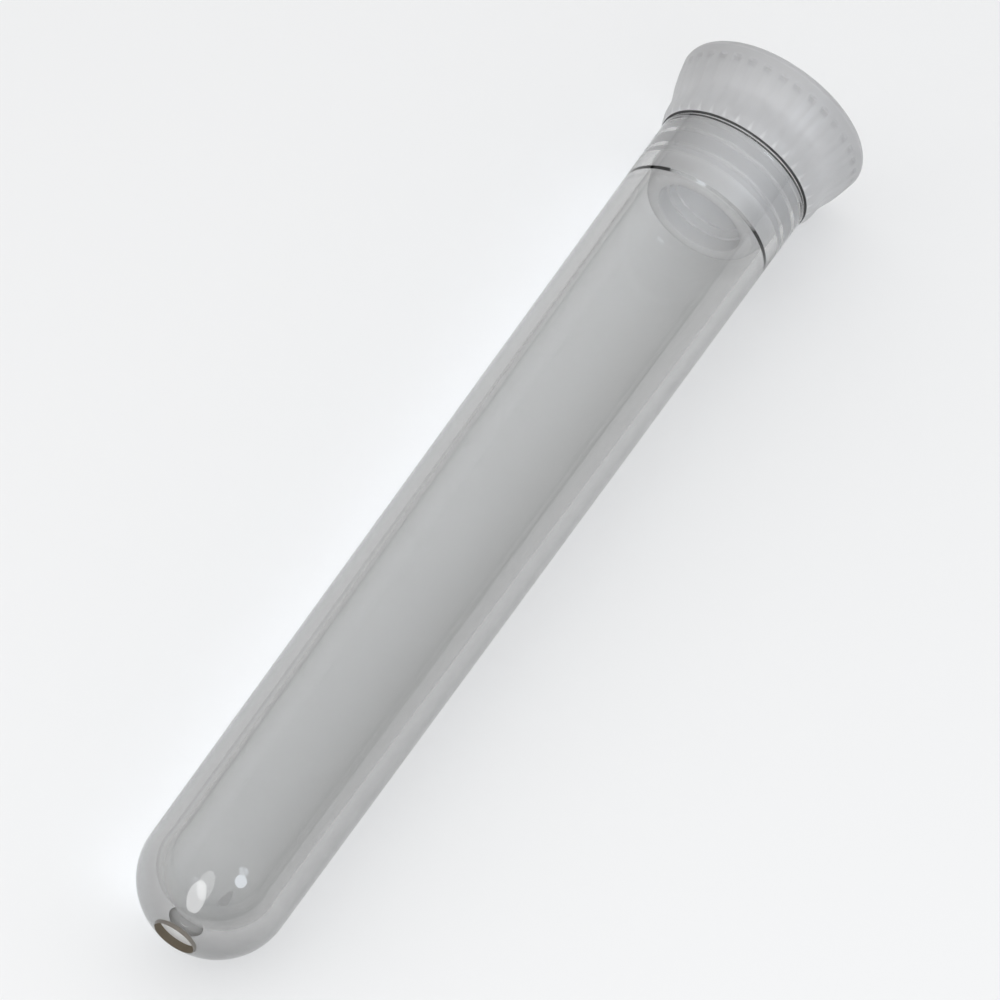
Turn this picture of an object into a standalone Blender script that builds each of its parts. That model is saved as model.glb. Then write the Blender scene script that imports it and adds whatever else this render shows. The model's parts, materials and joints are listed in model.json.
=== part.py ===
"""A tapered plastic test tube with a ribbed push-in stopper, lying on its side on the surface z = 0.

Each solid is modelled on its own axis, local +Z, from the middle of the round end at z = 0 to the open mouth.
The empty "rest_on_side" then lays both solids down, so that the round end and the stopper's lip touch z = 0.
"""

import math

import bmesh
import bpy
from mathutils import Matrix, Vector

MM = 0.001

# Driving dimensions of the tube
TUBE_LENGTH = 100 * MM
MOUTH_R = 8.4 * MM
END_R = 7.48 * MM           # outer radius where the taper meets the round end
END_HEIGHT = 7.3 * MM       # the round end is a little flatter than a half sphere
SEAT_R = 7.2 * MM           # bore at the mouth, where the stopper seals
SEAT_DEPTH = 7.1 * MM
SEAT_STEP = 0.36 * MM       # the tapered bore starts this much inside the seat
STEP_RUN = 0.29 * MM        # the length over which it steps in
END_WALL = 2.0 * MM         # wall where the taper meets the round end
END_FLOOR = 2.65 * MM       # height of the bore's lowest point
MOUTH_ROUND = 0.4 * MM
MOUTH_INNER_ROUND = 0.2 * MM

# The moulding gate: a round pocket in the middle of the closed end, with a broken-off stub
POCKET_R = 2.15 * MM
POCKET_DEPTH = 0.82 * MM
STUB_R = 0.5 * MM
STUB_HEIGHT = 0.15 * MM

# Driving dimensions of the stopper. Heights are above its seat, where the flange faces the tube's mouth.
GAP = 0.3 * MM              # between the stopper and the tube, all round
FLANGE_BASE_R = 8.5 * MM
SHOULDER = (8.95 * MM, 0.8 * MM)
WAIST = (9.2 * MM, 2.6 * MM)
FLARE = (9.97 * MM, 4.8 * MM)
LIP_R = 10.5 * MM
LIP_HEIGHT = 7.1 * MM
LIP_ROUND = 0.9 * MM
LIP_WIDTH = 0.7 * MM        # the flat land on top of the lip
DISH_FLOOR_R = 6.2 * MM
DISH_FLOOR_HEIGHT = 4.8 * MM

# The plug below the flange, with its sealing beads. Depths are below the seat.
BEAD_R = SEAT_R - GAP
BEAD_HEIGHT = 0.22 * MM
BEAD_DEPTHS = (0.8 * MM, 2.3 * MM, 4.3 * MM)
BEAD_HALF_LENGTH = 0.55 * MM
NOSE_START_DEPTH = 5.2 * MM
NOSE_R = 6.3 * MM
PLUG_DEPTH = 7.45 * MM
NOSE_ROUND = 0.35 * MM
BORE_STEPS = (              # radius and depth where each length of the stopper's own bore ends
    (4.7 * MM, 5.9 * MM),
    (4.35 * MM, 5.0 * MM),
)
BORE_R = 4.0 * MM
BORE_TOP_HEIGHT = 3.2 * MM

# The grip grooves round the flange
GROOVES = 36
GROOVE_R = 0.3 * MM         # radius of the groove's round section
GROOVE_BITE = 0.2 * MM      # how deep it cuts
GROOVE_TOP_HEIGHT = 6.6 * MM

SEGMENTS = GROOVES          # sides of every turned solid: each takes a groove, and is wide enough to lie on
FACET = math.cos(math.pi / SEGMENTS)   # a side's distance from the axis, as a share of its corners'
SEAT_Z = TUBE_LENGTH + GAP

# Lying down, the solids rest on two rings: where the taper meets the round end, and the widest of the lip.
LEAN = math.atan((LIP_R - END_R) * FACET / (SEAT_Z + LIP_HEIGHT - END_HEIGHT))


def clear_scene():
    for obj in list(bpy.data.objects):
        bpy.data.objects.remove(obj)


def new_collection(name):
    collection = bpy.data.collections.new(name)
    bpy.context.scene.collection.children.link(collection)
    return collection


def plastic(name, colour, roughness, transmission):
    material = bpy.data.materials.new(name)
    material.use_nodes = True
    surface = material.node_tree.nodes["Principled BSDF"]
    surface.inputs["Base Color"].default_value = (*colour, 1)
    surface.inputs["Roughness"].default_value = roughness
    surface.inputs["Metallic"].default_value = 0
    surface.inputs["Transmission Weight"].default_value = transmission
    return material


def arc(centre_r, centre_z, radius, start, end, steps, height=None):
    """Points (r, z) on an arc, which is part of an ellipse if its height differs from its radius.

    Angles are in degrees, 0 pointing away from the axis and 90 up."""
    height = height or radius
    angles = [math.radians(start + (end - start) * i / steps) for i in range(steps + 1)]
    return [(centre_r + radius * math.cos(a), centre_z + height * math.sin(a)) for a in angles]


def smooth_through(points, steps):
    """A Catmull-Rom curve through the points, with this many steps between neighbours."""
    ends = [points[0], *points, points[-1]]
    curve = [Vector(points[0])]
    for before, a, b, after in zip(ends, ends[1:], ends[2:], ends[3:]):
        before, a, b, after = (Vector(p) for p in (before, a, b, after))
        for i in range(1, steps + 1):
            t = i / steps
            curve.append(
                0.5 * (2 * a + (b - before) * t + (2 * before - 5 * a + 4 * b - after) * t**2
                       + (3 * a - before - 3 * b + after) * t**3)
            )
    return [tuple(p) for p in curve]


def turned(name, outline, collection):
    """A solid turned about local Z. The outline starts and ends on the axis and runs down its outer side."""
    mesh = bpy.data.meshes.new(name)
    corners = [(r, 0, z) for r, z in outline]
    mesh.from_pydata(corners, [(i, i + 1) for i in range(len(corners) - 1)], [])
    solid = bpy.data.objects.new(name, mesh)
    collection.objects.link(solid)
    screw = solid.modifiers.new("turn", "SCREW")
    screw.steps = screw.render_steps = SEGMENTS
    screw.use_merge_vertices = True
    screw.merge_threshold = 0.00001
    solid.rotation_euler.z = math.pi / SEGMENTS    # a side, not a corner, faces down
    return solid


def tube_outline():
    bore_end_r = END_R - END_WALL
    bore = arc(0, END_FLOOR + bore_end_r, bore_end_r, -90, 0, 7)
    step_z = TUBE_LENGTH - SEAT_DEPTH
    bore += [(SEAT_R - SEAT_STEP, step_z - STEP_RUN), (SEAT_R, step_z)]
    inner_z = TUBE_LENGTH - MOUTH_INNER_ROUND
    inner_lip = arc(SEAT_R + MOUTH_INNER_ROUND, inner_z, MOUTH_INNER_ROUND, 180, 90, 2)
    outer_lip = arc(MOUTH_R - MOUTH_ROUND, TUBE_LENGTH - MOUTH_ROUND, MOUTH_ROUND, 90, 0, 2)
    pocket_edge = math.degrees(math.acos(POCKET_R / END_R))
    round_end = arc(0, END_HEIGHT, END_R, 0, -pocket_edge, 7, END_HEIGHT)
    pocket_floor = round_end[-1][1] + POCKET_DEPTH
    stub_tip = pocket_floor - STUB_HEIGHT
    gate = [(POCKET_R, pocket_floor), (STUB_R, pocket_floor), (STUB_R, stub_tip), (0, stub_tip)]
    bore[0] = (0, END_FLOOR)    # exactly on the axis
    return bore + inner_lip + outer_lip + round_end + gate


def flare_curve():
    """The flange's outer side (r, height above the seat), from its base up to the widest of the lip."""
    points = [(FLANGE_BASE_R, 0), SHOULDER, WAIST, FLARE, (LIP_R, LIP_HEIGHT)]
    return smooth_through(points, 2)


def beads():
    """The plug's outer side (r, depth below the seat), from the flange down to where the nose begins."""
    side = []
    for depth in BEAD_DEPTHS:
        side += [
            (BEAD_R - BEAD_HEIGHT, depth - BEAD_HALF_LENGTH),
            (BEAD_R, depth - BEAD_HALF_LENGTH / 3),
            (BEAD_R, depth + BEAD_HALF_LENGTH / 3),
            (BEAD_R - BEAD_HEIGHT, depth + BEAD_HALF_LENGTH),
        ]
    return side


def stopper_outline():
    lip_centre = (LIP_R - LIP_ROUND, SEAT_Z + LIP_HEIGHT)
    lip_top = lip_centre[1] + LIP_ROUND
    dish = [(0, SEAT_Z + DISH_FLOOR_HEIGHT), (DISH_FLOOR_R, SEAT_Z + DISH_FLOOR_HEIGHT)]
    dish.append((lip_centre[0] - LIP_WIDTH, lip_top))
    lip = arc(*lip_centre, LIP_ROUND, 90, 0, 5)
    flare = [(r, SEAT_Z + height) for r, height in reversed(flare_curve()[:-1])]
    plug = [(BEAD_R - BEAD_HEIGHT, SEAT_Z)]
    plug += [(r, SEAT_Z - depth) for r, depth in beads()]
    plug.append((BEAD_R - BEAD_HEIGHT, SEAT_Z - NOSE_START_DEPTH))
    nose_z = SEAT_Z - PLUG_DEPTH
    plug += arc(NOSE_R - NOSE_ROUND, nose_z + NOSE_ROUND, NOSE_ROUND, 0, -90, 3)
    bore = [(BORE_STEPS[0][0], nose_z)]
    for (r, depth), (next_r, _) in zip(BORE_STEPS, [*BORE_STEPS[1:], (BORE_R, 0)]):
        bore += [(r, SEAT_Z - depth), (next_r, SEAT_Z - depth)]
    bore += [(BORE_R, SEAT_Z + BORE_TOP_HEIGHT), (0, SEAT_Z + BORE_TOP_HEIGHT)]
    return dish + lip + flare + plug + bore


def groove_cutter(collection):
    """One closed round bar for each grip groove, following the flange's outer side, all in one mesh."""
    path = [(r, height) for r, height in flare_curve() if height < GROOVE_TOP_HEIGHT]
    path = [(path[0][0] - GROOVE_R, -2 * GROOVE_R), *path]
    centre_shift = GROOVE_R - GROOVE_BITE
    bar = bpy.data.curves.new("groove_bar", "CURVE")
    bar.dimensions = "3D"
    bar.bevel_depth = GROOVE_R
    bar.bevel_resolution = 1
    bar.use_fill_caps = True
    spline = bar.splines.new("POLY")
    spline.points.add(len(path) - 1)
    for point, (r, height) in zip(spline.points, path):
        point.co = (r * FACET + centre_shift, 0, SEAT_Z + height, 1)
    guide = bpy.data.objects.new("groove_bar", bar)
    collection.objects.link(guide)
    bpy.context.view_layer.update()
    one = bpy.data.meshes.new_from_object(guide.evaluated_get(bpy.context.evaluated_depsgraph_get()))
    bpy.data.objects.remove(guide)
    bars = bmesh.new()
    for i in range(GROOVES):
        turn = Matrix.Rotation(math.tau * i / GROOVES + math.pi / SEGMENTS, 4, "Z")
        first_new = len(bars.verts)
        bars.from_mesh(one)
        bars.verts.ensure_lookup_table()
        bmesh.ops.transform(bars, matrix=turn, verts=bars.verts[first_new:])
    bmesh.ops.remove_doubles(bars, verts=bars.verts, dist=0.000001)
    mesh = bpy.data.meshes.new("grip_grooves")
    bars.to_mesh(mesh)
    cutter = bpy.data.objects.new("grip_grooves", mesh)
    cutter.hide_render = True
    cutter.display_type = "WIRE"
    collection.objects.link(cutter)
    return cutter


def freeze(solid):
    """Applies the solid's modifiers and shades it smooth, up to its sharp edges."""
    bpy.context.view_layer.update()
    shape = solid.evaluated_get(bpy.context.evaluated_depsgraph_get())
    mesh = bpy.data.meshes.new_from_object(shape)
    solid.modifiers.clear()
    solid.data = mesh
    mesh.shade_smooth()
    mesh.set_sharp_from_angle(angle=math.radians(30))


def make_tube(parts):
    tube = turned("tube", tube_outline(), parts)
    tube.data.materials.append(plastic("clear_polystyrene", (0.72, 0.72, 0.71), 0.05, 1.0))
    freeze(tube)
    return tube


def make_stopper(parts, cutters):
    stopper = turned("stopper", stopper_outline(), parts)
    stopper.data.materials.append(plastic("milky_polyethylene", (0.52, 0.52, 0.53), 0.45, 0.2))
    cutter = groove_cutter(cutters)
    cutter.parent = stopper
    cut = stopper.modifiers.new("grip_grooves", "BOOLEAN")
    cut.operation = "DIFFERENCE"
    cut.object = cutter
    freeze(stopper)
    return stopper


def lay_down(solids, collection):
    """Parents the solids to an empty that lays them on z = 0, with the origin under their common middle."""
    rest = bpy.data.objects.new("rest_on_side", None)
    collection.objects.link(rest)
    rest.rotation_euler.y = math.pi / 2 - LEAN
    for solid in solids:
        solid.parent = rest
    bpy.context.view_layer.update()
    depsgraph = bpy.context.evaluated_depsgraph_get()
    corners = []
    for solid in solids:
        shape = solid.evaluated_get(depsgraph)
        corners += [shape.matrix_world @ v.co for v in shape.data.vertices]
    middle_x = (min(p.x for p in corners) + max(p.x for p in corners)) / 2
    rest.location = (-middle_x, 0, -min(p.z for p in corners))
    bpy.context.view_layer.update()
    return rest


def main():
    clear_scene()
    parts = new_collection("test_tube")
    cutters = new_collection("cutters")
    tube = make_tube(parts)
    stopper = make_stopper(parts, cutters)
    lay_down([tube, stopper], parts)


main()
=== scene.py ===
"""A clear moulded test tube with a milky push-in stopper, lying on a pale floor in soft studio light.

Each piece is turned on its own axis, local +Z, with the CAD's sizes: the middle of the round end is at z = 0,
and the mouth is above it. It is then placed on the CAD's axis. Sizes are in metres.
"""

import json
import math

import bpy
import numpy as np
from mathutils import Matrix, Vector


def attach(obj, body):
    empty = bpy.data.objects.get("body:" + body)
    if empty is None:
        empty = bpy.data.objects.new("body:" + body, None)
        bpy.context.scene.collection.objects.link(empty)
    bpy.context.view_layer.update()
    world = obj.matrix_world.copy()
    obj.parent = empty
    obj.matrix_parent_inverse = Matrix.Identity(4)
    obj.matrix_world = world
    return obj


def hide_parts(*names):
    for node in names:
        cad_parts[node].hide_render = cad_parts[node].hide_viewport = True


MM = 0.001

# The tube, as in the CAD
TUBE_LENGTH = 100 * MM
MOUTH_R = 8.4 * MM
END_R = 7.48 * MM
END_HEIGHT = 7.3 * MM       # the round end is a little flatter than a half sphere
SEAT_R = 7.2 * MM
SEAT_DEPTH = 7.1 * MM
SEAT_STEP = 0.36 * MM
STEP_RUN = 0.29 * MM
END_WALL = 2.0 * MM
END_FLOOR = 2.65 * MM
MOUTH_ROUND = 0.4 * MM
MOUTH_INNER_ROUND = 0.2 * MM
POCKET_R = 2.15 * MM
POCKET_FLOOR_R = 2.13 * MM  # a moulding draft that the CAD leaves out
POCKET_ROUND = 0.04 * MM    # its edge, which is sharp in the CAD
POCKET_DEPTH = 0.82 * MM
STUB_R = 0.5 * MM
STUB_HEIGHT = 0.15 * MM

# The stopper, as in the CAD but for its foot and beads. Heights and depths are from its seat on the mouth.
GAP = 0.3 * MM
SEAT_Z = TUBE_LENGTH + GAP
FOOT_DROP = 0.27 * MM       # how much closer than GAP the flange's foot comes to the mouth
FLANGE_BASE_R = 8.5 * MM
SHOULDER = (8.95 * MM, 0.8 * MM)
WAIST = (9.2 * MM, 2.6 * MM)
FLARE = (9.97 * MM, 4.8 * MM)
LIP_R = 10.5 * MM
LIP_HEIGHT = 7.1 * MM
LIP_ROUND = 0.9 * MM
LIP_WIDTH = 0.7 * MM
DISH_FLOOR_R = 6.2 * MM
DISH_FLOOR_HEIGHT = 4.8 * MM
BEAD_R = SEAT_R + 0.01 * MM     # the beads press on the seat, where the CAD keeps them clear by GAP
AIR_LINE_DEPTH = 0.06 * MM  # the thin lines of air that stay trapped beside the beads
AIR_LINE_HALF_WIDTH = 0.2 * MM
BEAD_DEPTHS = (0.8 * MM, 2.3 * MM, 4.3 * MM)
NOSE_START_DEPTH = 5.2 * MM
NOSE_R = 6.3 * MM
PLUG_DEPTH = 7.45 * MM
NOSE_ROUND = 0.35 * MM
BORE_STEPS = ((4.7 * MM, 5.9 * MM), (4.35 * MM, 5.0 * MM))
BORE_R = 4.0 * MM
BORE_TOP_HEIGHT = 3.2 * MM

# The grip grooves, which have one even section in the CAD
GROOVES = 36
GROOVE_FOOT = 0.05 * MM - FOOT_DROP     # height of the groove's lower end
GROOVE_TOP = 6.25 * MM      # height of its upper end, under the lip
GROOVE_BITE = 0.07 * MM     # depth along most of its length
GROOVE_HALF_WIDTH = 0.62 * MM
GROOVE_FADE = (0.15 * MM, 0.1 * MM)     # the lengths over which it fades out at its foot and at its top
NOTCH_BITE = 0.16 * MM      # the sharper notch at its foot
NOTCH_LENGTH = 1.1 * MM
NOTCH_HALF_WIDTH = 0.3 * MM
GRIP_POCKET_BITE = 0.2 * MM     # the pocket at its top, where the flare overhangs
GRIP_POCKET_LENGTH = 1.2 * MM
GRIP_POCKET_HALF_WIDTH = 0.48 * MM

# The stopper's painted light and shade, as shares of the way to the palest (painted light, a glow) or to the
# darkest (painted shade)
# Painted light on the plug's nose, on the plug seen through the tube's wall, and in its hollow
NOSE_GLOW = 0.08
PLUG_GLOW = 0.35
HOLLOW_GLOW = 0.5
# A painted glint on each notch at a groove's foot
NOTCH_GLOW = 0.6
WAIST_GLOW = (0.22, 2.4 * MM, 1.5 * MM)     # the amount, the height and the half width of the painted light that makes the waist paler
# Painted shade that darkens the lip a little
LIP_SHADE = 0.11
# Painted shade at the top end of each grip pocket, under the overhanging flare
GRIP_POCKET_SHADE = 0.7
GRIP_POCKET_SHADE_HEIGHT = 0.17 * MM    # of the painted shade line under the pocket's end
CREVICE_DEPTH = 0.45 * MM   # how far below the seat the painted shade in the crevice at the plug's root reaches
CREVICE_REACH = 0.5 * MM    # how near the mouth has to be for the shade to be painted, so it is pale once the stopper is out
MILKY_GREYS = (0.95, 0.55, 0.02)        # palest (painted light), middle and darkest (painted shade)

# The clear plastic
FROSTED = 0.5               # the value of the tube's stored marks on frosted plastic
FROST_ROUGHNESS = 0.8
FROST_TRANSMISSION = 0.5
CLEAR_COLOURS = ((0.92, 0.92, 0.915), (0.8, 0.8, 0.79), (0.16, 0.125, 0.08))   # clear, frosted, brown
PARTING_LINE = (12, 34)     # degrees round the mouth's outer corner
WALL_ABSORPTION = 110       # per metre

# The meshes
TUBE_SEGMENTS = 288
STOPPER_SEGMENTS = GROOVES * 14
LONGEST_STEP = 0.8 * MM     # of an outline, so that smooth shading stays true beside a rounded edge
EDGE = 0.03 * MM            # width of a crisp edge between two shades
SKIN = 0.1 * MM             # how far from the outer surface a point still counts as on it
TOUCH = 0.01 * MM           # heights closer than this are the same
SHARP_ANGLE = math.radians(35)

# The camera: its direction, its lens, and where the tube's closed end lies from it
VIEW_AZIMUTH = math.radians(-57.63)
VIEW_ELEVATION = math.radians(58.4)
LENS_MM = 195.7
POLE_FROM_CAMERA = (-30.23 * MM, -40.63 * MM, 500.9 * MM)  # right, up, ahead


def arc(centre_r, centre_z, radius, start, end, steps, height=None):
    """Points (r, z) on an arc, which is part of an ellipse if its height differs from its radius.

    Angles are in degrees, 0 pointing away from the axis and 90 up."""
    height = height or radius
    angles = [math.radians(start + (end - start) * i / steps) for i in range(steps + 1)]
    return [(centre_r + radius * math.cos(a), centre_z + height * math.sin(a)) for a in angles]


def smooth_through(points, steps):
    """A Catmull-Rom curve through the points, with this many steps between neighbours."""
    ends = [points[0], *points, points[-1]]
    curve = [Vector(points[0])]
    for before, a, b, after in zip(ends, ends[1:], ends[2:], ends[3:]):
        before, a, b, after = (Vector(p) for p in (before, a, b, after))
        for i in range(1, steps + 1):
            t = i / steps
            curve.append(
                0.5 * (2 * a + (b - before) * t + (2 * before - 5 * a + 4 * b - after) * t**2
                       + (3 * a - before - 3 * b + after) * t**3)
            )
    return [tuple(p) for p in curve]


def densify(outline, longest=LONGEST_STEP):
    """The outline with its long stretches divided."""
    points = [outline[0]]
    for a, b in zip(outline, outline[1:]):
        steps = max(1, math.ceil(math.dist(a, b) / longest))
        points += [(a[0] + (b[0] - a[0]) * i / steps, a[1] + (b[1] - a[1]) * i / steps)
                   for i in range(1, steps + 1)]
    return points


def revolve(name, outline, segments, shift=None):
    """A mesh turned about local Z. The outline starts and ends on the axis and runs down its outer side.

    shift(r, z, angles) gives how far each point of a ring moves towards the axis."""
    angles = np.arange(segments) * math.tau / segments
    rings = outline[1:-1]
    points = [(0, 0, outline[0][1])]
    for r, z in rings:
        radii = r - (shift(r, z, angles) if shift else 0)
        heights = np.full(segments, z)
        points += np.stack([radii * np.cos(angles), radii * np.sin(angles), heights], 1).tolist()
    points.append((0, 0, outline[-1][1]))
    faces = []
    last = len(points) - 1
    for i in range(segments):
        j = (i + 1) % segments
        faces.append((0, 1 + i, 1 + j))
        faces += [(1 + k * segments + i, 1 + (k + 1) * segments + i, 1 + (k + 1) * segments + j,
                   1 + k * segments + j) for k in range(len(rings) - 1)]
        tail = 1 + (len(rings) - 1) * segments
        faces.append((last, tail + j, tail + i))
    mesh = bpy.data.meshes.new(name)
    mesh.from_pydata(points, [], faces)
    mesh.shade_smooth()
    mesh.set_sharp_from_angle(angle=SHARP_ANGLE)
    piece = bpy.data.objects.new(name, mesh)
    bpy.context.scene.collection.objects.link(piece)
    return piece


def tube_outline():
    bore_end_r = END_R - END_WALL
    bore = arc(0, END_FLOOR + bore_end_r, bore_end_r, -90, 0, 48)
    step_z = TUBE_LENGTH - SEAT_DEPTH
    bore += [(SEAT_R - SEAT_STEP, step_z - STEP_RUN), (SEAT_R, step_z)]
    inner_z = TUBE_LENGTH - MOUTH_INNER_ROUND
    inner_lip = arc(SEAT_R + MOUTH_INNER_ROUND, inner_z, MOUTH_INNER_ROUND, 180, 90, 12)
    outer_lip = arc(MOUTH_R - MOUTH_ROUND, TUBE_LENGTH - MOUTH_ROUND, MOUTH_ROUND, 90, 0, 12)
    edge_r = POCKET_R + POCKET_ROUND
    edge_angle = math.degrees(math.acos(edge_r / END_R))
    round_end = arc(0, END_HEIGHT, END_R, 0, -edge_angle, 48, END_HEIGHT)
    edge_z = round_end[-1][1] + POCKET_ROUND
    round_end += arc(edge_r, edge_z, POCKET_ROUND, -90, -180, 10)
    pocket_floor = edge_z - POCKET_ROUND + POCKET_DEPTH
    stub_tip = pocket_floor - STUB_HEIGHT
    gate = [(POCKET_FLOOR_R, pocket_floor), (POCKET_FLOOR_R - EDGE, pocket_floor)]
    gate += [(STUB_R, pocket_floor), (STUB_R, stub_tip), (0, stub_tip)]
    bore[0] = (0, END_FLOOR)    # exactly on the axis
    return bore + inner_lip + outer_lip + round_end + gate


def flare_curve(steps):
    """The flange's outer side (r, height above the seat), from its base up to the widest of the lip."""
    points = [(FLANGE_BASE_R, -FOOT_DROP), SHOULDER, WAIST, FLARE, (LIP_R, LIP_HEIGHT)]
    return smooth_through(points, steps)


def plug_side(steps=60):
    """The plug's outer side (r, depth below the seat), with its sealing beads, down to the nose."""
    side = []
    for i in range(steps + 1):
        depth = FOOT_DROP + (NOSE_START_DEPTH - FOOT_DROP) * i / steps
        air = sum(math.exp(-((depth - d) / AIR_LINE_HALF_WIDTH) ** 2) for d in BEAD_DEPTHS)
        side.append((BEAD_R - AIR_LINE_DEPTH * air, depth))
    return side


def stopper_outline():
    lip_centre = (LIP_R - LIP_ROUND, SEAT_Z + LIP_HEIGHT)
    lip_top = lip_centre[1] + LIP_ROUND
    dish = [(0, SEAT_Z + DISH_FLOOR_HEIGHT), (DISH_FLOOR_R, SEAT_Z + DISH_FLOOR_HEIGHT)]
    dish.append((lip_centre[0] - LIP_WIDTH, lip_top))
    lip = arc(*lip_centre, LIP_ROUND, 90, 0, 16)
    flare = [(r, SEAT_Z + height) for r, height in reversed(flare_curve(18)[:-1])]
    plug = [(FLANGE_BASE_R - EDGE, SEAT_Z - FOOT_DROP)]
    plug += [(r, SEAT_Z - depth) for r, depth in plug_side()]
    nose_z = SEAT_Z - PLUG_DEPTH
    plug += arc(NOSE_R - NOSE_ROUND, nose_z + NOSE_ROUND, NOSE_ROUND, 0, -90, 10)
    bore = [(BORE_STEPS[0][0], nose_z)]
    for (r, depth), (next_r, _) in zip(BORE_STEPS, [*BORE_STEPS[1:], (BORE_R, 0)]):
        bore += [(r, SEAT_Z - depth), (next_r, SEAT_Z - depth)]
    bore += [(BORE_R, SEAT_Z + BORE_TOP_HEIGHT), (0, SEAT_Z + BORE_TOP_HEIGHT)]
    return dish + lip + flare + plug + bore


def smooth_step(value, start, end):
    t = np.clip((value - start) / (end - start), 0, 1)
    return t * t * (3 - 2 * t)


def groove_parts(height, r, angles):
    """The groove, the notch at its foot and the pocket at its top, each from 0 to 1."""
    pitch = math.tau / GROOVES
    offset = ((angles + pitch / 2) % pitch - pitch / 2) * r
    foot_fade, top_fade = GROOVE_FADE
    inside = smooth_step(height, GROOVE_FOOT, GROOVE_FOOT + foot_fade)
    inside = inside * (1 - smooth_step(height, GROOVE_TOP - top_fade, GROOVE_TOP))
    groove = 0.5 + 0.5 * np.cos(np.clip(offset / GROOVE_HALF_WIDTH, -1, 1) * math.pi)
    rise = np.clip((height - GROOVE_FOOT) / NOTCH_LENGTH, 0, 1)
    notch = np.clip(1 - (offset / (NOTCH_HALF_WIDTH * (1.02 - rise))) ** 2, 0, 1) * (1 - rise)
    pocket = np.clip(1 - (offset / GRIP_POCKET_HALF_WIDTH) ** 4, 0, 1)
    pocket = pocket * smooth_step(height, GROOVE_TOP - GRIP_POCKET_LENGTH, GROOVE_TOP - top_fade)
    return inside * groove, inside * notch, inside * pocket


def groove_shift(r, z, angles):
    """How deep the grip grooves cut at each angle, at this height on the flange's outer side."""
    height = z - SEAT_Z
    if r < FLANGE_BASE_R or height > LIP_HEIGHT:
        return np.zeros_like(angles)
    groove, notch, pocket = groove_parts(height, r, angles)
    return np.maximum(GROOVE_BITE * groove, np.maximum(NOTCH_BITE * notch, GRIP_POCKET_BITE * pocket))


def stopper_painted_light(r, z, angles):
    """Painted light and shade. Above 0 where shade is painted: a dark line at each grip pocket's top, and a
    little on the lip. Below 0 where light is painted: at the waist, glints on the notches, the plug, its nose
    and hollow."""
    height = z - SEAT_Z
    _, notch, pocket = groove_parts(height, r, angles)
    shade_top = GROOVE_TOP - GROOVE_FADE[1]
    # Painted shade: a dark line at the top end of each grip pocket
    shade = pocket * smooth_step(height, GROOVE_TOP - GRIP_POCKET_SHADE_HEIGHT, shade_top)
    outside = (r > FLANGE_BASE_R - GRIP_POCKET_BITE) & (height > -FOOT_DROP) & (height < LIP_HEIGHT)
    hollow = (height < BORE_TOP_HEIGHT + TOUCH) & (r < NOSE_R - NOSE_ROUND)
    nose = (height <= -NOSE_START_DEPTH) & ~hollow
    sealed = (height <= -CREVICE_DEPTH) & ~hollow & ~nose
    amount, waist, width = WAIST_GLOW
    # Painted shade on the lip, and painted light that makes the waist paler
    form = LIP_SHADE * smooth_step(height, FLARE[1], LIP_HEIGHT)
    form = form - amount * np.exp(-((height - waist) / width) ** 2)
    flange = np.where(outside, form + GRIP_POCKET_SHADE * shade - NOTCH_GLOW * notch, 0)
    # Painted light on the hollow, the plug and its nose
    return flange - HOLLOW_GLOW * hollow - PLUG_GLOW * sealed - NOSE_GLOW * nose


def stopper_crevice_shade(r, z, angles):
    """1 at the plug's root, where shade is painted while the tube's mouth is near it."""
    height = z - SEAT_Z
    underside = (height < TOUCH - FOOT_DROP) & (r > NOSE_R) & (r < FLANGE_BASE_R - 0.5 * EDGE)
    return 1.0 * (underside & (height > -CREVICE_DEPTH))


def tube_marks(r, z, angles):
    """FROSTED on the gate pocket's floor, where the gate broke off, and on the mould's parting line round the
    mouth. 1 on the pocket's side wall, which is coloured dark brown. 0 where the moulding is clear."""
    in_pocket = (r < POCKET_R + 0.5 * POCKET_ROUND) & (z < 2 * POCKET_DEPTH)
    on_wall = in_pocket & (r > POCKET_FLOOR_R - 0.5 * EDGE)
    corner = np.degrees(np.arctan2(z - (TUBE_LENGTH - MOUTH_ROUND), r - (MOUTH_R - MOUTH_ROUND)))
    on_rim = (z > TUBE_LENGTH - MOUTH_ROUND) & (r > MOUTH_R - MOUTH_ROUND)
    parting = on_rim & (corner > PARTING_LINE[0]) & (corner < PARTING_LINE[1])
    return np.where(on_wall, 1, FROSTED * (in_pocket | parting))


def tube_outside(r, z, angles):
    """1 on the tube's outer skin, where the edge shade is painted, 0 on its bore and in the gate pocket."""
    skin_r = np.interp(z, (END_HEIGHT, TUBE_LENGTH), (END_R, MOUTH_R))
    dome_r = END_R * np.sqrt(np.clip(1 - ((END_HEIGHT - z) / END_HEIGHT) ** 2, 0, 1))
    skin_r = np.where(z < END_HEIGHT, dome_r, skin_r)
    return 1.0 * (np.abs(r - skin_r) < SKIN)


def store_marks(mesh, marks_and_painted_light, name="marks_and_painted_light"):
    """Keeps the values that the given function of (r, z, angles) has at each point in the mesh's attribute of
    this name.
    """
    points = np.empty(len(mesh.vertices) * 3)
    mesh.vertices.foreach_get("co", points)
    x, y, z = points.reshape(-1, 3).T
    values = marks_and_painted_light(np.hypot(x, y), z, np.arctan2(y, x))
    mesh.attributes.new(name, "FLOAT", "POINT").data.foreach_set("value", values)


def node(tree, kind, **inputs):
    """A new shader node with its inputs set. An input's name has _ for each space."""
    made = tree.nodes.new(kind)
    for key, value in inputs.items():
        made.inputs[key.replace("_", " ")].default_value = value
    return made


def stored(tree, name):
    """A node that reads one of the mesh's stored attributes."""
    attribute = tree.nodes.new("ShaderNodeAttribute")
    attribute.attribute_name = name
    return attribute


def new_material(name):
    material = bpy.data.materials.new(name)
    material.use_nodes = True
    return material, material.node_tree, material.node_tree.nodes["Principled BSDF"]


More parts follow.
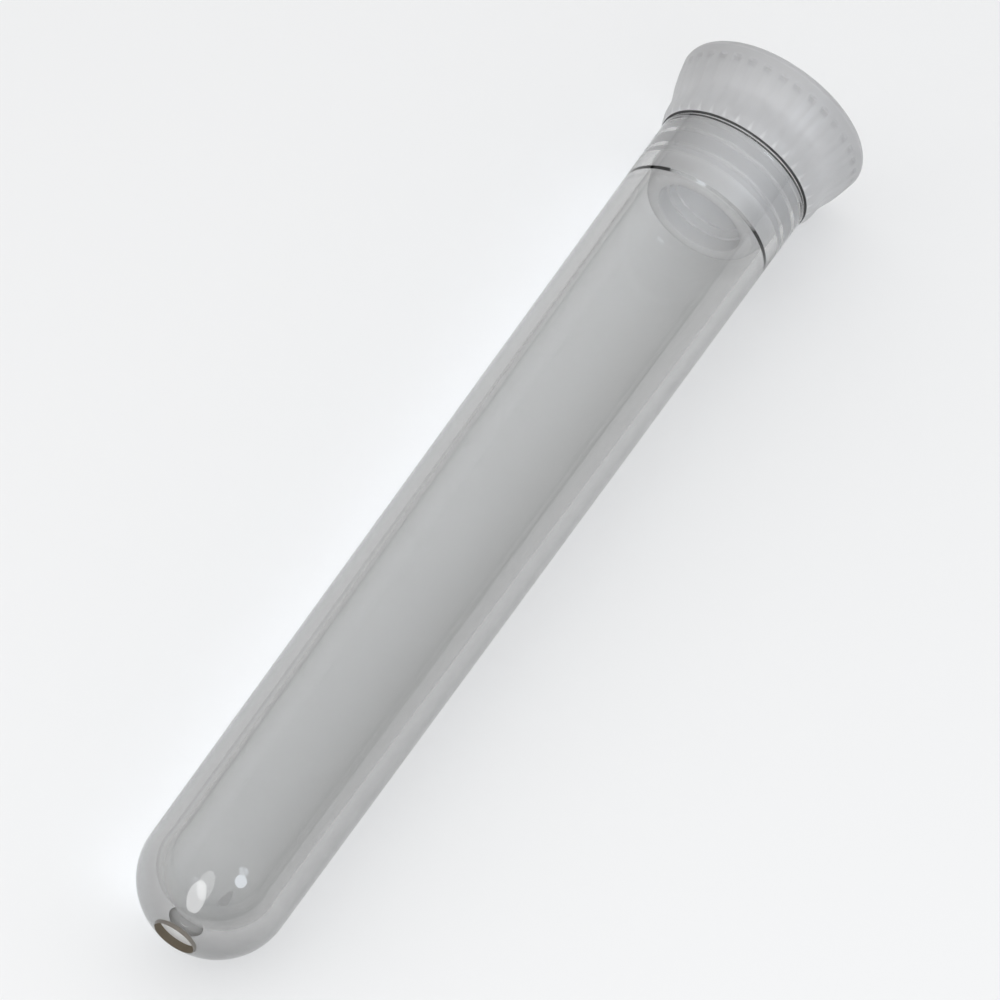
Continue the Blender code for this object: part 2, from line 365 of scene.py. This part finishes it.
def clear_polystyrene():
    material, tree, surface = new_material("clear_polystyrene")
    links = tree.links
    marks_and_painted_light = stored(tree, "marks_and_painted_light")
    tone = tree.nodes.new("ShaderNodeValToRGB")
    tone.color_ramp.elements.new(FROSTED)
    for stop, colour in zip(tone.color_ramp.elements, CLEAR_COLOURS):
        stop.color = (*colour, 1)
    links.new(marks_and_painted_light.outputs["Fac"], tone.inputs["Fac"])
    # Painted shade: the outer skin's colour darkens towards its grazing edges
    grazing = node(tree, "ShaderNodeLayerWeight", Blend=0.5)
    rim = node(tree, "ShaderNodeMapRange", From_Min=0.6, From_Max=0.95, To_Min=1, To_Max=0.5)
    on_skin = tree.nodes.new("ShaderNodeMath")
    on_skin.operation = "MULTIPLY"
    links.new(grazing.outputs["Facing"], on_skin.inputs[0])
    links.new(stored(tree, "outside").outputs["Fac"], on_skin.inputs[1])
    links.new(on_skin.outputs["Value"], rim.inputs["Value"])
    tinted = tree.nodes.new("ShaderNodeVectorMath")
    tinted.operation = "MULTIPLY"
    links.new(tone.outputs["Color"], tinted.inputs[0])
    links.new(rim.outputs["Result"], tinted.inputs[1])
    links.new(tinted.outputs["Vector"], surface.inputs["Base Color"])
    surface.inputs["IOR"].default_value = 1.59
    clear = node(tree, "ShaderNodeMapRange", From_Max=FROSTED, To_Min=1, To_Max=FROST_TRANSMISSION)
    links.new(marks_and_painted_light.outputs["Fac"], clear.inputs["Value"])
    links.new(clear.outputs["Result"], surface.inputs["Transmission Weight"])
    place = tree.nodes.new("ShaderNodeTexCoord")
    haze = node(tree, "ShaderNodeTexNoise", Scale=260, Detail=4)
    roughness = node(tree, "ShaderNodeMapRange", From_Min=0.35, From_Max=0.75, To_Max=0.012)
    links.new(place.outputs["Object"], haze.inputs["Vector"])
    links.new(haze.outputs["Fac"], roughness.inputs["Value"])
    frost = node(tree, "ShaderNodeMapRange", From_Max=FROSTED, To_Max=FROST_ROUGHNESS)
    links.new(marks_and_painted_light.outputs["Fac"], frost.inputs["Value"])
    links.new(roughness.outputs["Result"], frost.inputs["To Min"])
    links.new(frost.outputs["Result"], surface.inputs["Roughness"])
    body = node(tree, "ShaderNodeVolumeAbsorption", Color=(0, 0, 0, 1), Density=WALL_ABSORPTION)
    links.new(body.outputs["Volume"], tree.nodes["Material Output"].inputs["Volume"])
    let_light_through(tree, surface)
    return material


def let_light_through(tree, surface):
    """Light passes the clear walls on its way to what they cover, so that isn't in a solid's full shadow."""
    kind = tree.nodes.new("ShaderNodeLightPath")
    passing = node(tree, "ShaderNodeBsdfTransparent", Color=(1, 1, 1, 1))
    mix = tree.nodes.new("ShaderNodeMixShader")
    output = tree.nodes["Material Output"]
    tree.links.new(kind.outputs["Is Shadow Ray"], mix.inputs["Fac"])
    tree.links.new(surface.outputs["BSDF"], mix.inputs[1])
    tree.links.new(passing.outputs["BSDF"], mix.inputs[2])
    tree.links.new(mix.outputs["Shader"], output.inputs["Surface"])


def milky_polyethylene():
    material, tree, surface = new_material("milky_polyethylene")
    links = tree.links
    surface.inputs["Transmission Weight"].default_value = 0.45
    surface.inputs["Subsurface Weight"].default_value = 0.8
    surface.inputs["Subsurface Radius"].default_value = (1, 1, 1)
    surface.inputs["Subsurface Scale"].default_value = 5 * MM
    surface.inputs["IOR"].default_value = 1.51
    surface.inputs["Specular IOR Level"].default_value = 0.3
    place = tree.nodes.new("ShaderNodeTexCoord")
    # The stored painted light and shade, with painted shade in the crevice from ambient occlusion, set the
    # grey
    marks_and_painted_light = stored(tree, "marks_and_painted_light")
    tone = tree.nodes.new("ShaderNodeValToRGB")
    tone.color_ramp.elements.new(0.5)
    for stop, grey in zip(tone.color_ramp.elements, MILKY_GREYS):
        stop.color = (grey, grey, grey * 1.01, 1)
    centre = node(tree, "ShaderNodeMapRange", From_Min=-1, From_Max=1)
    links.new(marks_and_painted_light.outputs["Fac"], centre.inputs["Value"])
    # Painted shade at the plug's root, where ambient occlusion finds the tube's mouth near
    nearby = node(tree, "ShaderNodeAmbientOcclusion", Distance=CREVICE_REACH)
    covered = node(tree, "ShaderNodeMapRange", From_Min=0.85, From_Max=0.6)
    dim = tree.nodes.new("ShaderNodeMath")
    dim.operation = "MULTIPLY_ADD"
    links.new(nearby.outputs["AO"], covered.inputs["Value"])
    links.new(covered.outputs["Result"], dim.inputs[0])
    links.new(stored(tree, "crevice_shade").outputs["Fac"], dim.inputs[1])
    links.new(centre.outputs["Result"], dim.inputs[2])
    links.new(dim.outputs["Value"], tone.inputs["Fac"])
    links.new(tone.outputs["Color"], surface.inputs["Base Color"])
    grain = node(tree, "ShaderNodeTexNoise", Scale=1800, Detail=3)
    cloud = node(tree, "ShaderNodeTexNoise", Scale=150, Detail=3)
    roughness = node(tree, "ShaderNodeMapRange", From_Min=0.3, From_Max=0.7, To_Min=0.34, To_Max=0.42)
    bump = node(tree, "ShaderNodeBump", Strength=0.15, Distance=0.02 * MM)
    links.new(place.outputs["Object"], grain.inputs["Vector"])
    links.new(place.outputs["Object"], cloud.inputs["Vector"])
    links.new(cloud.outputs["Fac"], roughness.inputs["Value"])
    links.new(roughness.outputs["Result"], surface.inputs["Roughness"])
    links.new(grain.outputs["Fac"], bump.inputs["Height"])
    links.new(bump.outputs["Normal"], surface.inputs["Normal"])
    return material


def cad_placement():
    """The matrix that takes local +Z to the CAD's axis, with local zero at the middle of the closed end."""
    mount = next(m for m in frame["record"]["mounts"] if m["name"] == "stopper_top")
    axis = Vector(mount["axis"]).normalized()
    pole = Vector(mount["pos_m"]) - axis * (SEAT_Z + DISH_FLOOR_HEIGHT)
    turn = Vector((0, 0, 1)).rotation_difference(axis)
    return Matrix.Translation(pole) @ turn.to_matrix().to_4x4()


def make_floor():
    bpy.ops.mesh.primitive_plane_add(size=4)
    floor = bpy.context.object
    floor.name = "floor"
    material, tree, surface = new_material("pale_floor")
    surface.inputs["Base Color"].default_value = (0.84, 0.84, 0.84, 1)
    surface.inputs["Roughness"].default_value = 0.7
    floor.data.materials.append(material)


def make_camera(place):
    right = Vector((math.cos(VIEW_AZIMUTH), math.sin(VIEW_AZIMUTH), 0))
    level = Vector((-math.sin(VIEW_AZIMUTH), math.cos(VIEW_AZIMUTH), 0))
    ahead = level * math.cos(VIEW_ELEVATION) - Vector((0, 0, math.sin(VIEW_ELEVATION)))
    up = right.cross(ahead)
    data = bpy.data.cameras.new("camera")
    data.lens = LENS_MM
    data.clip_start = 0.01
    camera = bpy.data.objects.new("camera", data)
    bpy.context.scene.collection.objects.link(camera)
    pole = place @ Vector((0, 0, 0))
    x, y, depth = POLE_FROM_CAMERA
    basis = Matrix((right, up, -ahead)).transposed().to_4x4()
    camera.matrix_world = Matrix.Translation(pole - right * x - up * y - ahead * depth) @ basis
    bpy.context.scene.camera = camera


def area_light(name, towards, distance, size, radiance, colour=(1, 1, 1)):
    """An elliptical light in the given direction from the object, facing it."""
    data = bpy.data.lights.new(name, "AREA")
    data.shape = "ELLIPSE"
    data.size, data.size_y = size
    data.energy = radiance * math.pi * size[0] * size[1]
    data.color = colour
    data.use_shadow = False
    light = bpy.data.objects.new(name, data)
    direction = Vector(towards).normalized()
    light.location = direction * distance
    light.rotation_euler = direction.to_track_quat("Z", "Y").to_euler()
    bpy.context.scene.collection.objects.link(light)


def make_light():
    world = bpy.data.worlds.new("studio")
    bpy.context.scene.world = world
    world.use_nodes = True
    tree = world.node_tree
    background = tree.nodes["Background"]
    place = tree.nodes.new("ShaderNodeTexCoord")
    height = tree.nodes.new("ShaderNodeSeparateXYZ")
    ramp = tree.nodes.new("ShaderNodeValToRGB")
    stops = ((0.04, 0.05), (0.12, 0.55), (0.9, 0.85))
    ramp.color_ramp.elements.new(0.5)
    for stop, (position, grey) in zip(ramp.color_ramp.elements, stops):
        stop.position = position
        stop.color = (grey, grey, grey, 1)
    tree.links.new(place.outputs["Generated"], height.inputs["Vector"])
    tree.links.new(height.outputs["Z"], ramp.inputs["Fac"])
    tree.links.new(ramp.outputs["Color"], background.inputs["Color"])
    background.inputs["Strength"].default_value = 1
    area_light("tall_softbox", (-0.85, -0.02, 0.49), 1.0, (0.42, 0.9), 4)
    area_light("small_lamp", (-0.066, -0.724, 0.685), 0.8, (0.26, 0.26), 5, (0.85, 0.92, 1))


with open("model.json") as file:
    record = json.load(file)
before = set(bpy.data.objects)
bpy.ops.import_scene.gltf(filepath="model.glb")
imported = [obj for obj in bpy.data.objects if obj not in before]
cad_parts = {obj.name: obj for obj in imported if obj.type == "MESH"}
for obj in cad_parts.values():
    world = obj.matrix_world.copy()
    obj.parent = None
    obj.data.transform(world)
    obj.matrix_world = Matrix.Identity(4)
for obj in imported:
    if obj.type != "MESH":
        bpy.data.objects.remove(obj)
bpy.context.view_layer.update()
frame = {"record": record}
placement = cad_placement()
make_camera(placement)

tube = revolve("clear_tube", densify(tube_outline()), TUBE_SEGMENTS)
store_marks(tube.data, tube_marks)
store_marks(tube.data, tube_outside, "outside")
tube.data.materials.append(clear_polystyrene())
stopper = revolve("fluted_stopper", densify(stopper_outline()), STOPPER_SEGMENTS, groove_shift)
store_marks(stopper.data, stopper_painted_light)
store_marks(stopper.data, stopper_crevice_shade, "crevice_shade")
stopper.data.materials.append(milky_polyethylene())
for piece, body, slot in ((tube, "tube", "clear_tube"), (stopper, "stopper", "milky_stopper")):
    piece.data.transform(placement)
    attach(piece, body)
    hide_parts(body)

make_floor()
make_light()
bpy.context.scene.view_settings.view_transform = "Standard"
